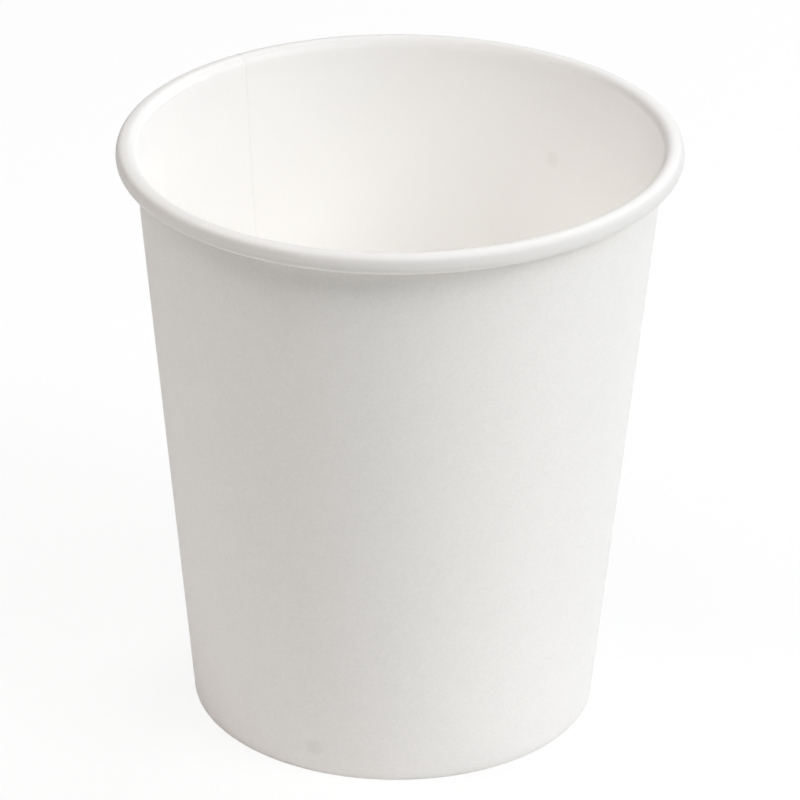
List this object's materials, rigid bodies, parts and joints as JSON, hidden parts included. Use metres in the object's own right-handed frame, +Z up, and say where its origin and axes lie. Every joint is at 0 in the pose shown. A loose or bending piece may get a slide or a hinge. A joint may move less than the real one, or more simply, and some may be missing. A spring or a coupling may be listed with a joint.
{
  "type": "paper coffee cup",
  "caption": "Plain white single-wall paper cup for hot drinks, tapered, with a rolled rim, a lapped side seam and a recessed bottom.",
  "frame": {"origin": "centre of the foot, on the plane that the cup stands on", "axes": "+Z up along the cup's axis, towards the mouth; -Y is the side that faces the viewer, and the side seam is at the back left, 127.5 degrees from +X towards +Y"},
  "size_m": [0.073, 0.073, 0.0796],
  "materials": {
    "wall_board": "matte uncoated outside, thin satin plastic lining inside and over the rolled rim",
    "bottom_board": "matte uncoated underneath, thin satin plastic lining on top"
  },
  "bodies": {
    "root": {"sidewall": "wall_board", "bottom_disc": "bottom_board"}
  },
  "joints": []
}
